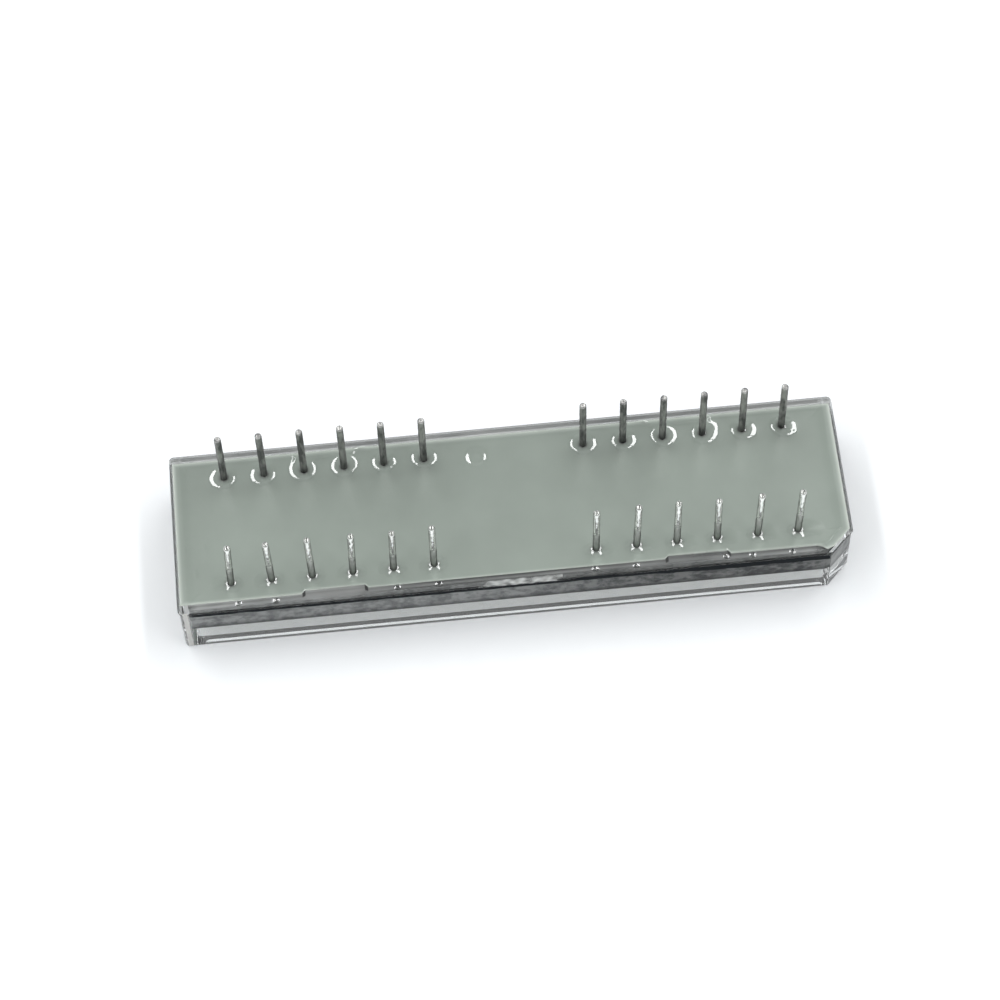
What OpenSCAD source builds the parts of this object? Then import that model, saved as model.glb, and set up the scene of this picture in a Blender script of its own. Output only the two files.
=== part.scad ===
// Eight-character 5 x 7 dot matrix LED display in a clear two-row pin case.
// It lies on its window: z = 0 is the front face, and the pins point up along +Z.

/* [Case] */
// Length of the case below its lip
body_l = 42.25; // [42:0.05:44]
// Width of the case below its lip
body_w = 11.2; // [10.8:0.05:13]
// Height of the case from window to rim
body_h = 4.52; // [4.4:0.01:5.6]
// Thickness of the side walls
wall_t = 0.58; // [0.5:0.01:0.75]
// Thickness of the front window
window_t = 0.75; // [0.5:0.01:1]
// Radius of the three plain corners
corner_r = 0.3; // [0.1:0.05:0.5]
// Least radius of an inside corner
inner_r = 0.15; // [0.1:0.01:0.25]
// Leg of the cut corner that marks pin 1
key_leg = 1.45; // [1:0.05:1.8]
// Bevel round the front face
bevel = 0.14; // [0.05:0.01:0.25]
// How far the lip at the rim stands out
lip_w = 0.1; // [0.05:0.01:0.2]
// Thickness of the lip
lip_t = 0.2; // [0.1:0.01:0.4]

/* [Inside of the case] */
// Air space between the window and the board
cavity_h = 1.2; // [1.05:0.01:1.4]
// Width of the ledge under the edge of the board
ledge_w = 0.25; // [0.15:0.01:0.35]
// Length of each retaining lug at its root
lug_l = 4.1; // [3:0.1:5]
// How far each lug stands in from the wall
lug_d = 0.22; // [0.1:0.01:0.3]
// Distance of each lug's centre from the middle
lug_x = 11.35; // [9:0.05:14]

/* [Circuit board] */
// Thickness of the board
board_t = 1.5; // [1:0.1:1.6]
// Gap between the board's edge and the wall
board_gap = 0.07; // [0.03:0.01:0.12]
// Gap between the board's back face and a lug
lug_gap = 0.05; // [0.02:0.01:0.1]
// Diameter of a plated hole
hole_d = 0.62; // [0.55:0.01:0.7]
// Diameter of a solder pad
pad_d = 1.04; // [0.9:0.02:1.2]

/* [Characters] */
// Gap between two displays set end to end, where the characters keep their pitch
stack_gap = 0.1; // [0.05:0.01:0.3]
// Distance from one dot column to the next
column_pitch = 0.65; // [0.55:0.01:0.7]
// Distance from one dot row to the next
row_pitch = 0.76; // [0.6:0.01:0.8]
// Side of a square LED die
die_w = 0.25; // [0.2:0.01:0.3]
// Height of an LED die
die_h = 0.2; // [0.15:0.01:0.25]
// Width of the plated strip under a column of dice
track_w = 0.36; // [0.32:0.01:0.4]
// Thickness of the plated strip
track_t = 0.035; // [0.02:0.005:0.05]

/* [Pins] */
// Distance from one pin place to the next
pin_pitch = 2.54; // [2.5:0.01:2.6]
// Distance between the two rows of pins
row_spacing = 7.62; // [7.5:0.01:7.8]
// Length of a pin above the rim
pin_out = 4.87; // [3:0.01:6]
// Diameter of the bare pin
pin_d = 0.43; // [0.38:0.01:0.48]
// Thickness of the tin coat on the outer stretch
tin_t = 0.015; // [0.01:0.005:0.03]
// Bare stretch between the epoxy and the tin coat
bare_l = 0.4; // [0.3:0.01:0.8]
// Length of the rounded tip
tip_l = 0.16; // [0.1:0.01:0.2]
// How far the tail stands out of the board's front face
tail_l = 0.32; // [0.25:0.01:0.4]
// Height of a solder fillet
fillet_h = 0.24; // [0.15:0.01:0.25]

/* [Driver chip] */
// Length of the bare chip
chip_l = 4.2; // [3:0.1:5]
// Width of the bare chip
chip_w = 2.8; // [2:0.1:3.4]
// Thickness of the bare chip
chip_t = 0.3; // [0.2:0.01:0.35]
// Encapsulant over the middle of the chip
glob_top = 0.38; // [0.3:0.01:0.4]
// Encapsulant over the corners of the chip
glob_edge = 0.08; // [0.03:0.01:0.12]

/* [Epoxy] */
// Depth of the epoxy's face below the rim
fill_drop = 0.06; // [0.02:0.01:0.1]
// Diameter of the burst bubble in the epoxy
crater_d = 1.57; // [1:0.01:2]
// Depth of the burst bubble
crater_h = 0.3; // [0.1:0.01:0.4]
// Place of the bubble along the case
crater_x = -1.64; // [-3:0.01:3]
// Place of the bubble across the case
crater_y = 3.75; // [2:0.01:4]

/* [Hidden] */
character_count = 8;
column_count = 5;  // dots across a character
row_count = 7;     // dots down a character
place_count = 15;  // pin places in a row
fitted_count = 6;  // pins at each end of a row
pin_numbers = [
    for (p = [1:2 * place_count])
        if (pin_place(p) < fitted_count || pin_place(p) >= place_count - fitted_count) p
];

character_pitch = (body_l + 2 * lip_w + stack_gap) / character_count;
board_z = window_t + cavity_h;
board_top = board_z + board_t;
fill_top = body_h - fill_drop;
pocket_w = body_w - 2 * wall_t;
pin_top = body_h + pin_out;
tin_z = fill_top + bare_l;
tin_d = pin_d + 2 * tin_t;
glob_h = chip_t + glob_top;
glob_drop = glob_top - glob_edge;
glob_r = (pow(norm([chip_l, chip_w]) / 2, 2) + pow(glob_drop, 2)) / (2 * glob_drop);
glob_angle = acos(1 - glob_h / glob_r);
crater_r = (pow(crater_d / 2, 2) + pow(crater_h, 2)) / (2 * crater_h);
arc_steps = 5;
tip_steps = 4;
dome_steps = 8;
round_fn = 32;
over = 1; // how far a cutting shape runs past the face it opens

// Place of a pin along its row, counted from the cut corner
function pin_place(p) = p <= place_count ? p - 1 : 2 * place_count - p;
function pin_x(p) = ((place_count - 1) / 2 - pin_place(p)) * pin_pitch;
function pin_y(p) = (p <= place_count ? -1 : 1) * row_spacing / 2;

// Place of a character, counted from the left as the window is read, and of a dot in it
function character_x(c) = ((character_count + 1) / 2 - c) * character_pitch;
function column_x(col) = (col - (column_count - 1) / 2) * column_pitch;
function row_y(row) = (row - (row_count - 1) / 2) * row_pitch;

// Points of a rounded corner, from one angle through the next quarter turn
function corner(x, y, r, from) =
    [for (i = [0:arc_steps]) [x, y] + r * [cos(from + 90 * i / arc_steps), sin(from + 90 * i / arc_steps)]];

// Case outline, moved in from the case's own face by a distance that may be negative
function case_outline(inset) =
    let (
        hx = body_l / 2 - inset,
        hy = body_w / 2 - inset,
        r = max(corner_r - inset, inner_r),
        leg = key_leg - inset * (2 - sqrt(2))
    )
    concat(
        [[hx - leg, -hy], [hx, leg - hy]],
        corner(hx - r, hy - r, r, 0),
        corner(r - hx, hy - r, r, 90),
        corner(r - hx, r - hy, r, 180)
    );

module case_prism(inset, z0, z1)
    translate([0, 0, z0])
        linear_extrude(z1 - z0)
            polygon(case_outline(inset));

// Wedges that bevel the four long edges and the cut corner of the front face
module front_bevel() {
    reach = body_l + body_w;
    key_run = (body_l / 2 - key_leg + body_w / 2) / sqrt(2);
    for (side = [[0, body_l / 2], [90, body_w / 2], [180, body_l / 2], [270, body_w / 2], [-45, key_run]])
        rotate([0, 0, side[0]])
            translate([side[1], reach / 2, 0])
                rotate([90, 0, 0])
                    linear_extrude(reach)
                        polygon([[-bevel, 0], [0, bevel], [over, bevel], [over, -over], [-bevel, -over]]);
}

// Outline of a retaining lug, rooted in the wall, with ends at 45 degrees
module lug()
    polygon([
        [-lug_l / 2, -over],
        [lug_l / 2, -over],
        [lug_l / 2, 0],
        [lug_l / 2 - lug_d, lug_d],
        [lug_d - lug_l / 2, lug_d],
        [-lug_l / 2, 0]
    ]);

module lugs(z0, z1)
    translate([0, 0, z0])
        linear_extrude(z1 - z0)
            for (sx = [-1, 1], sy = [0, 1])
                mirror([0, sy, 0])
                    translate([sx * lug_x, -pocket_w / 2])
                        lug();

// Back opening of the case, narrowed by the lugs
module back_opening(z0, z1)
    difference() {
        case_prism(wall_t, z0, z1);
        lugs(z0 - over, z1 + over);
    }

module lens_cover()
    color([0.92, 0.94, 0.94, 0.45])
        difference() {
            union() {
                case_prism(0, 0, body_h);
                case_prism(-lip_w, body_h - lip_t, body_h);
            }
            front_bevel();
            case_prism(wall_t + ledge_w, window_t, body_h);
            case_prism(wall_t, board_z, board_top + lug_gap);
            back_opening(board_top + lug_gap, body_h + over);
        }

module circuit_board()
    color([0.14, 0.2, 0.16])
        difference() {
            case_prism(wall_t + board_gap, board_z, board_top);
            for (p = pin_numbers)
                translate([pin_x(p), pin_y(p), board_z - over])
                    cylinder(h = board_t + 2 * over, d = hole_d, $fn = round_fn);
        }

// Fillet cones on both faces of the board, and the solder between them
module solder_body()
    rotate_extrude($fn = round_fn)
        polygon([
            [0, board_z - fillet_h],
            [pin_d / 2 + tin_t, board_z - fillet_h],
            [pad_d / 2, board_z],
            [hole_d / 2, board_z],
            [hole_d / 2, board_top],
            [pad_d / 2, board_top],
            [pin_d / 2 + tin_t, board_top + fillet_h],
            [0, board_top + fillet_h]
        ]);

module solder_joints()
    color([0.72, 0.73, 0.74])
        for (p = pin_numbers)
            translate([pin_x(p), pin_y(p), 0])
                difference() {
                    solder_body();
                    cylinder(h = body_h, d = pin_d, $fn = round_fn);
                }

// Low dome that stands on the board's back face
module glob_dome()
    translate([0, 0, board_top])
        rotate_extrude($fn = 2 * round_fn)
            polygon(concat(
                [[0, 0]],
                [for (i = [dome_steps:-1:0])
                    glob_r * [sin(i * glob_angle / dome_steps), cos(i * glob_angle / dome_steps)]
                    + [0, glob_h - glob_r]
                ]
            ));

module chip_block()
    translate([-chip_l / 2, -chip_w / 2, board_top])
        cube([chip_l, chip_w, chip_t]);

module driver_chip()
    color([0.25, 0.26, 0.3])
        chip_block();

module chip_encapsulant()
    color([0.08, 0.08, 0.08])
        difference() {
            glob_dome();
            chip_block();
        }

module backfill_epoxy()
    color([0.59, 0.62, 0.6])
        difference() {
            union() {
                case_prism(wall_t, board_top, board_top + lug_gap);
                back_opening(board_top + lug_gap, fill_top);
            }
            glob_dome();
            translate([crater_x, crater_y, fill_top - crater_h + crater_r])
                sphere(r = crater_r, $fn = round_fn);
            for (p = pin_numbers)
                translate([pin_x(p), pin_y(p), 0]) {
                    cylinder(h = body_h + over, d = pin_d, $fn = round_fn);
                    solder_body();
                }
        }

module column_tracks()
    color([0.8, 0.66, 0.35])
        for (c = [1:character_count], col = [0:column_count - 1])
            translate([character_x(c) + column_x(col), 0, board_z - track_t / 2])
                cube([track_w, (row_count - 1) * row_pitch + track_w, track_t], center = true);

module led_character(c)
    color([0.78, 0.8, 0.6])
        for (col = [0:column_count - 1], row = [0:row_count - 1])
            translate([character_x(c) + column_x(col), row_y(row), board_z - track_t - die_h / 2])
                cube([die_w, die_w, die_h], center = true);

// Half profile of a pin: rounded tip, thin tin coat, bare shank
module pin(p)
    color([0.66, 0.67, 0.68])
        translate([pin_x(p), pin_y(p), 0])
            rotate_extrude($fn = round_fn)
                polygon(concat(
                    [for (i = [tip_steps:-1:0]) [
                        tin_d / 2 * cos(90 * i / tip_steps),
                        pin_top - tip_l * (1 - sin(90 * i / tip_steps))
                    ]],
                    [[tin_d / 2, tin_z], [pin_d / 2, tin_z]],
                    [[pin_d / 2, board_z - tail_l], [0, board_z - tail_l]]
                ));

lens_cover();
circuit_board();
backfill_epoxy();
driver_chip();
chip_encapsulant();
column_tracks();
solder_joints();
for (c = [1:character_count]) led_character(c);
for (p = pin_numbers) pin(p);
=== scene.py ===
import bpy
import bmesh
import math
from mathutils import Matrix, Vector, noise


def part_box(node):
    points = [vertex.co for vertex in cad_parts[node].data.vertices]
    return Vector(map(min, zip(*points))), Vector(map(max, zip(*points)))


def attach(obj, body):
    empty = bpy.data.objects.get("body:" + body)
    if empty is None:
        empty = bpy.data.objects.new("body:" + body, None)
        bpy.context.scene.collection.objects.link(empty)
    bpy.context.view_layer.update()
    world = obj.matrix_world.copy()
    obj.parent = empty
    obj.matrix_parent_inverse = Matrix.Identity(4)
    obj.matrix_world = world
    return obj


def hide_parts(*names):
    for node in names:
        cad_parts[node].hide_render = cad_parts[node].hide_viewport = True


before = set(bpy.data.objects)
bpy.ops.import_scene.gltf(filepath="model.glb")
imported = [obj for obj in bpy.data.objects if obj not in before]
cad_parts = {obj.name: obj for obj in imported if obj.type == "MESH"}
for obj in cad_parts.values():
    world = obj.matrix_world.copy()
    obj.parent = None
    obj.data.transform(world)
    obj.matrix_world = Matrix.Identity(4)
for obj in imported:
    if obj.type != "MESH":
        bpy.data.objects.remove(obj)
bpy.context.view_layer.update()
mm = 0.001
scene = bpy.context.scene
scene.view_settings.view_transform = "Standard"
scene.cycles.max_bounces = 40
scene.cycles.glossy_bounces = 36
scene.cycles.transmission_bounces = 36

view = {
    "place": (-7.11 * mm, -103.32 * mm, 187.57 * mm),
    "tilt": (29.552, 1.101, -5.562),
    "lens": 120.22,
    "sensor": 36,
    "nearest": 0.01,
}

# two strip lamps, left and right, running front to back
lamps = {
    "power": 0.9,
    "size": (0.042, 0.8),
    "apart": 0.165,
    "back": 0.2,
    "height": 0.32,
}

caseLow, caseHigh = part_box("lens_cover")
fillLow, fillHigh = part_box("backfill_epoxy")
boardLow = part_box("circuit_board")[0]
characters = [f"led_character_{number}" for number in range(1, 9)]
pinNumbers = [number for number in range(1, 31) if number not in (7, 8, 9, 22, 23, 24)]
pinPlaces = {}
for number in pinNumbers:
    low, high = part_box(f"pin_{number}")
    pinPlaces[number] = ((low.x + high.x) / 2, (low.y + high.y) / 2)
pinRadius = (high.x - low.x) / 2
pinTop = high.z


def addObject(name, mesh, slotName, *materials):
    piece = bpy.data.objects.new(name, mesh)
    scene.collection.objects.link(piece)
    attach(piece, "root")
    for material in materials:
        mesh.materials.append(material)
    return piece


def meshFrom(name, points, faces, smooth=True):
    mesh = bpy.data.meshes.new(name)
    mesh.from_pydata(points, [], faces)
    mesh.validate()
    for face in mesh.polygons:
        face.use_smooth = smooth
    return mesh


def gridFaces(columns, rows, flip=False):
    # quads over points that were laid out column by column
    faces = []
    for i in range(columns - 1):
        for j in range(rows - 1):
            a = i * rows + j
            face = (a, a + rows, a + rows + 1, a + 1)
            faces.append(face[::-1] if flip else face)
    return faces


def ringFaces(start, rings, around):
    # quads between rings of points, the first ring at start
    faces = []
    for ring in range(rings - 1):
        for j in range(around):
            a = start + ring * around + j
            b = start + ring * around + (j + 1) % around
            faces.append((a, b, b + around, a + around))
    return faces


def paint(mesh, name, values):
    # a number on every point, for the materials to read
    layer = mesh.attributes.new(name, "FLOAT", "POINT")
    layer.data.foreach_set("value", values)


def within(value, low=0, high=1):
    return min(max(value, low), high)


def wander(x, y, size):
    # uneven by up to about size[0], by noise of scale size[1]
    return size[0] * noise.noise(Vector((x, y, 0)) * size[1])


def spacing(first, last, coarse, zones):
    # stops from first to last, coarse apart, and closer inside each (low, high, fine) zone
    stops = [first]
    while stops[-1] < last:
        step = coarse
        here = stops[-1]
        for low, high, fine in zones:
            if low <= here < high:
                step = min(step, fine)
            elif here < low < here + step:
                step = low - here
        stops.append(here + max(step, 1e-6))
    stops[-1] = last
    return stops


def setInputs(tree, node, values):
    # each input is linked to a socket or set to a value
    for name, value in values.items():
        if isinstance(value, bpy.types.NodeSocket):
            tree.links.new(value, node.inputs[name])
        else:
            node.inputs[name].default_value = value


def addNode(tree, kind, inputs={}, **settings):
    node = tree.nodes.new("ShaderNode" + kind)
    for name, value in settings.items():
        setattr(node, name, value)
    setInputs(tree, node, inputs)
    return node


def newMaterial(name):
    material = bpy.data.materials.new(name)
    material.use_nodes = True
    tree = material.node_tree
    return material, tree, tree.nodes["Principled BSDF"]


def mathNode(tree, operation, *values):
    return addNode(tree, "Math", dict(enumerate(values)), operation=operation).outputs[0]


def vectorNode(tree, operation, *values):
    return addNode(tree, "VectorMath", dict(enumerate(values)), operation=operation)


def mapRange(tree, value, fromRange, toRange):
    node = addNode(tree, "MapRange", {
        "Value": value,
        "From Min": fromRange[0],
        "From Max": fromRange[1],
        "To Min": toRange[0],
        "To Max": toRange[1],
    })
    return node.outputs["Result"]


def mixColours(tree, share, first, second):
    node = addNode(tree, "Mix", {"Factor": share, "A": first, "B": second}, data_type="RGBA")
    return node.outputs["Result"]


def scaleColour(tree, colour, share):
    node = addNode(tree, "VectorMath", {0: colour, "Scale": share}, operation="SCALE")
    return node.outputs["Vector"]


def painted(tree, name):
    return addNode(tree, "Attribute", {}, attribute_name=name).outputs["Fac"]


def ownPlace(tree):
    # x, y and z in the object's own space, in metres
    place = addNode(tree, "TexCoord")
    return addNode(tree, "SeparateXYZ", {"Vector": place.outputs["Object"]}).outputs


def ownNoise(tree, scale, detail=4.0, stretch=(1, 1, 1)):
    place = addNode(tree, "TexCoord")
    size = addNode(tree, "Mapping", {"Vector": place.outputs["Object"], "Scale": stretch})
    grain = addNode(tree, "TexNoise", {"Vector": size.outputs["Vector"], "Scale": scale, "Detail": detail})
    return grain.outputs["Fac"]


def colourRamp(tree, source, stops):
    ramp = addNode(tree, "ValToRGB", {"Fac": source})
    while len(ramp.color_ramp.elements) < len(stops):
        ramp.color_ramp.elements.new(0.5)
    for element, (at, colour) in zip(ramp.color_ramp.elements, stops):
        element.position = at
        element.color = (*colour, 1)
    return ramp.outputs["Color"]


def addBump(tree, shader, source, strength, distance):
    bump = addNode(tree, "Bump", {"Strength": strength, "Distance": distance, "Height": source})
    setInputs(tree, shader, {"Normal": bump.outputs["Normal"]})


def scaled(colour, by):
    return tuple(part * by for part in colour)


def clearPlastic(name, changes):
    # changes holds the shader inputs in which this kind differs from the case
    material, tree, shader = newMaterial(name)
    setInputs(tree, shader, {
        "Base Color": (0.95, 0.965, 0.96, 1),
        "Roughness": 0,
        "IOR": 1.522,
        "Transmission Weight": 1,
        "Specular Tint": (0.15, 0.15, 0.15, 1),
    })
    setInputs(tree, shader, changes)
    addBump(tree, shader, ownNoise(tree, 350, 2), 0.05, 0.02 * mm)
    return material


epoxyLook = {
    "base": (0.297, 0.34, 0.304),
    "pale": (0.52, 0.57, 0.52, 1),
    # painted shade round the pins' feet, also the colour of the painted shadows beside them
    "footShade": (0.14, 0.15, 0.14, 1),
    "cloud": (0.91, 1.05),    # darkest and palest share of the base
    # painted light and shade: the potting brighter at the near row and darker at the far row
    "rows": (1.05, 0.9),      # brightness at the near and the far row
    # roughness of its skin
    "flatGloss": 0.25,
    "steepGloss": 0.015,
}


def greyEpoxy():
    material, tree, shader = newMaterial("greyEpoxy")
    deep, light = [scaled(epoxyLook["base"], share) for share in epoxyLook["cloud"]]
    tint = colourRamp(tree, ownNoise(tree, 160, 5), [(0.3, deep), (0.7, light)])
    # painted shade: a little darker towards the far row
    across = mapRange(tree, ownPlace(tree)["Y"], (-5 * mm, 5 * mm), epoxyLook["rows"])
    shade = scaleColour(tree, tint, across)
    # paler where it thins against the wall, and painted shade round the pins' feet and in soft painted
    # shadows beside them
    pale = mixColours(tree, painted(tree, "rim"), shade, epoxyLook["pale"])
    dark = mixColours(tree, painted(tree, "collar"), pale, epoxyLook["footShade"])
    # glossiest where it stands up round the pins
    gloss = (epoxyLook["flatGloss"], epoxyLook["steepGloss"])
    setInputs(tree, shader, {
        "Base Color": dark,
        "Roughness": 0.5,
        "IOR": 1.55,
        "Specular IOR Level": 0,
        "Coat Weight": 1,
        "Coat Roughness": mapRange(tree, painted(tree, "steep"), (0, 1), gloss),
        "Coat IOR": 1.8,
    })
    addBump(tree, shader, ownNoise(tree, 2500, 3), 0.1, 0.006 * mm)
    return material


def mottledFilm():
    material, tree, shader = newMaterial("mottledFilm")
    large = ownNoise(tree, 700, 3, (1, 1, 1.3))
    small = ownNoise(tree, 2300, 3, (1, 1, 1.2))
    blotch = mathNode(tree, "MULTIPLY_ADD", small, 0.55, mathNode(tree, "MULTIPLY", large, 0.45))
    pale = colourRamp(tree, blotch, [(0.42, (0.23, 0.237, 0.24)), (0.58, (0.49, 0.5, 0.5))])
    deep = colourRamp(tree, blotch, [(0.42, (0.045, 0.05, 0.052)), (0.58, (0.24, 0.245, 0.24))])
    place = ownPlace(tree)
    # pale on the left, deep on the right, and darker along its lower edge
    along = mapRange(tree, place["X"], (-1 * mm, 8 * mm), (0, 1))
    level = mapRange(tree, place["Z"], (2.1 * mm, 2.5 * mm), (0.3, 1))
    shade = scaleColour(tree, mixColours(tree, along, pale, deep), level)
    setInputs(tree, shader, {"Base Color": shade, "Roughness": 0.5, "Specular IOR Level": 0})
    return material


def smearedEpoxy():
    # a thin skin of epoxy left on the rim, see-through where it is thinnest; where its tone is near black
    # it is painted shade
    material, tree, shader = newMaterial("smearedEpoxy")
    streak = ownNoise(tree, 900, 5, (0.25, 1, 1))
    tint = colourRamp(tree, streak, [(0.35, (0.84, 0.88, 0.87)), (0.65, (1.1, 1.13, 1.11))])
    ragged = mathNode(tree, "MULTIPLY_ADD", streak, 0.4, -0.2)
    cover = addNode(tree, "Math", {0: ragged, 1: painted(tree, "cover")}, operation="ADD", use_clamp=True)
    setInputs(tree, shader, {
        "Base Color": scaleColour(tree, tint, painted(tree, "tone")),
        "Alpha": cover.outputs[0],
        "Roughness": 0.4,
    })
    return material


def tinnedWire(name, look):
    material, tree, shader = newMaterial(name)
    streak = ownNoise(tree, 2600, 4, (1, 1, 0.3))
    tint = colourRamp(tree, streak, [(0.36, look["deep"]), (0.6, look["bright"])])
    height = mapRange(tree, ownPlace(tree)["Z"], (fillHigh.z, pinTop), (0, 1))
    # painted shade along the pin: darker at its foot and at its tip
    heightShade = colourRamp(tree, height, [(at, (level, level, level)) for at, level in look["shadeByHeight"]])
    # painted shade: darker where it curves away
    facing = addNode(tree, "LayerWeight", {"Blend": 0.35}).outputs["Facing"]
    edgeShading = mapRange(tree, facing, look["edge"], (1, look["edgeShade"]))
    shade = vectorNode(tree, "MULTIPLY", scaleColour(tree, tint, edgeShading), heightShade)
    setInputs(tree, shader, {
        "Base Color": shade.outputs["Vector"],
        "Metallic": 1,
        "Roughness": mapRange(tree, height, (0.4, 0.52), look["roughness"]),
    })
    addBump(tree, shader, streak, 0.25, 0.03 * mm)
    return material


def grainyFinish(name, grain, stops, roughness, metallic=0.0, sheen=0.5):
    # grain is the noise's scale and detail, and its stretch if it has one
    material, tree, shader = newMaterial(name)
    setInputs(tree, shader, {
        "Base Color": colourRamp(tree, ownNoise(tree, *grain), stops),
        "Roughness": roughness,
        "Metallic": metallic,
        "Specular IOR Level": sheen,
    })
    return material


def plainFinish(name, colour, *finish):
    return grainyFinish(name, (1500, 3), [(0.3, scaled(colour, 0.88)), (0.7, colour)], *finish)


# roughness is (lower half, upper half); edge is where the painted shade on its sides starts and ends as it
# curves away, then how dark that gets; then painted shade along the pin, as (share of the bare height,
# brightness)
nearTin = {
    "deep": (0.82, 0.86, 0.81),
    "bright": (0.98, 1.0, 0.96),
    "roughness": (0.42, 0.12),
    "edge": (0.41, 0.62),
    "edgeShade": 0.18,
    "shadeByHeight": [(0.05, 0.26), (0.12, 0.44), (0.4, 0.56), (0.52, 1.0), (0.955, 1.0), (0.98, 0.6)],
}
# the far pins: the same tin as the near ones, rougher and darker with painted shade
farTin = {
    "deep": (0.2, 0.2, 0.2),
    "bright": (0.62, 0.62, 0.6),
    "roughness": (0.4, 0.4),
    "edge": (0.25, 0.75),
    "edgeShade": 0.25,
    "shadeByHeight": [(0.034, 0.22), (0.17, 0.62), (0.454, 1.0)],
}

plastic = clearPlastic("clearPlastic", {})
frosted = clearPlastic("frostedPlastic", {"Roughness": 0.42})
hazed = clearPlastic("hazedPlastic", {
    "Base Color": (0.8, 0.79, 0.76, 1),
    "Roughness": 0.5,
    "Transmission Weight": 0.3,
})
flux = clearPlastic("clearFlux", {"IOR": 1.8, "Specular Tint": (1, 1, 1, 1)})
epoxy = greyEpoxy()
# the potting where it wets the wall, seen through the plastic
wetSide = grainyFinish("wettedSide", (700, 4, (1, 1, 2)),
                       [(0.35, (0.16, 0.17, 0.165)), (0.65, (0.3, 0.32, 0.305))], 0.5, 0, 0)
# painted shade: near black, for a band of the potting's side against the wall
voidShadow = plainFinish("voidShadow", (0.008, 0.008, 0.009), 0.6, 0, 0)
mottled = mottledFilm()
# the far pins get the copy of the tin that is darkened with painted shade
brightTin = tinnedWire("brightTin", nearTin)
roughShadedTin = tinnedWire("roughShadedTin", farTin)
smeared = smearedEpoxy()
# painted shade: near black, for the sheet under the near lip
lipShadeBlack = plainFinish("lipShadeBlack", (0.026, 0.029, 0.032), 0.6, 0, 0)
laminate = grainyFinish("boardLaminate", (900, 5, (0.35, 0.35, 2)),
                        [(0.3, (0.05, 0.052, 0.05)), (0.7, (0.2, 0.2, 0.195))], 0.5)
gold = plainFinish("goldPlate", (0.83, 0.62, 0.28), 0.3, 1)
solder = plainFinish("solder", (0.7, 0.7, 0.7), 0.25, 1)
dieFinish = plainFinish("ledDie", (0.75, 0.72, 0.5), 0.35)
silicon = plainFinish("silicon", (0.18, 0.18, 0.22), 0.2)
encapsulant = plainFinish("encapsulant", (0.03, 0.03, 0.03), 0.45)
print("materials ready")

potting = {
    # the wall's inner face: its lugs and its cut corner
    "lugCentre": 11.35 * mm,
    "lugRoot": 4.1 * mm,
    "lugDepth": 0.22 * mm,
    "keyLeg": 1.11 * mm,
    "overlap": 0.01 * mm,     # wets the wall, so no air film shows
    # how far it laps over the rim on each side, and how the lap swells at the cut corner
    "lapLeft": 0.49 * mm,
    "lapRight": 0.48 * mm,
    "lapNear": 0.045 * mm,
    "lapFar": 0.15 * mm,
    "lapKey": 0.62 * mm,
    "lapDrop": 0.011 * mm,
    "keySwell": 0.3 * mm,
    "keyTurn": 0.45 * mm,
    "pivot": 3.0 * mm,        # beyond this the mesh lines spread out to the border
    # steps of its mesh
    "coarse": 0.3 * mm,
    "coarseAcross": 0.25 * mm,
    "fine": 0.042 * mm,
    "endStep": 0.06 * mm,
    "lugStep": 0.05 * mm,
    "edgeStep": 0.04 * mm,
    # how far the finer steps reach
    "pinZone": 1.05 * mm,
    "endZone": 1.9 * mm,
    "craterZone": 0.9 * mm,
    "lugZone": 0.3 * mm,
    "nearEdgeZone": 0.35 * mm,
    "farEdgeZone": 0.3 * mm,
    "nearRowZone": (0.75 * mm, 0.6 * mm),
    "farRowZone": (1.05 * mm, 1.0 * mm),
    # how it stands up along the wall and round the pins
    "edgeRise": 0.072 * mm,
    "edgeReach": 0.13 * mm,
    "endReach": 0.34 * mm,
    "wetRise": 0.012 * mm,
    "wetReach": 0.03 * mm,
    "collarRise": 0.085 * mm,
    "widest": 0.095 * mm,
    "coneSoft": 0.025 * mm,
    # small ridges and scratches: middle, half length, half width, turn in degrees, height
    "ridges": [
        (-9.1, 5.04, 0.25, 0.13, 18, 0.072),
        (9.14, 5.06, 0.22, 0.13, -34, 0.066),
        (-19.16, -1.05, 0.2, 0.1, 60, 0.05),
        (-19.89, -2.97, 0.17, 0.09, -50, 0.05),
    ],
    "craterAt": (-1.75 * mm, 3.7 * mm),
    "craterRadius": 0.61 * mm,
    "craterDepth": 0.102 * mm,
    # height and noise scale of its waves and of the finer ones on them
    "wave": (0.006 * mm, 300),
    "ripple": (0.0018 * mm, 1300),
    # heights of the skirt's rings, the first still out on the rim
    "skirt": [4.514 * mm, 4.51 * mm, 4.02 * mm, 3.53 * mm, 3.45 * mm],
    "skirtWander": (0.07 * mm, 420),
    # how far the pale edge and the painted shade round a pin's foot reach
    "paleReach": 0.17 * mm,
    "footShadeReach": 0.1 * mm,
    # painted shadows round the near and the far feet: strength, width, depth, how far in front, in mm
    "nearShadow": (0.16, 0.6, 0.4, 0.1),
    "farShadow": (0.15, 1.3, 0.6, 0.75),
    "shadowWander": (0.2, 700),
    # the slope at which it starts to shine, and over how much more it gains its full gloss
    "shineFrom": 0.05,
    "shineOver": 0.08,
}

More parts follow.
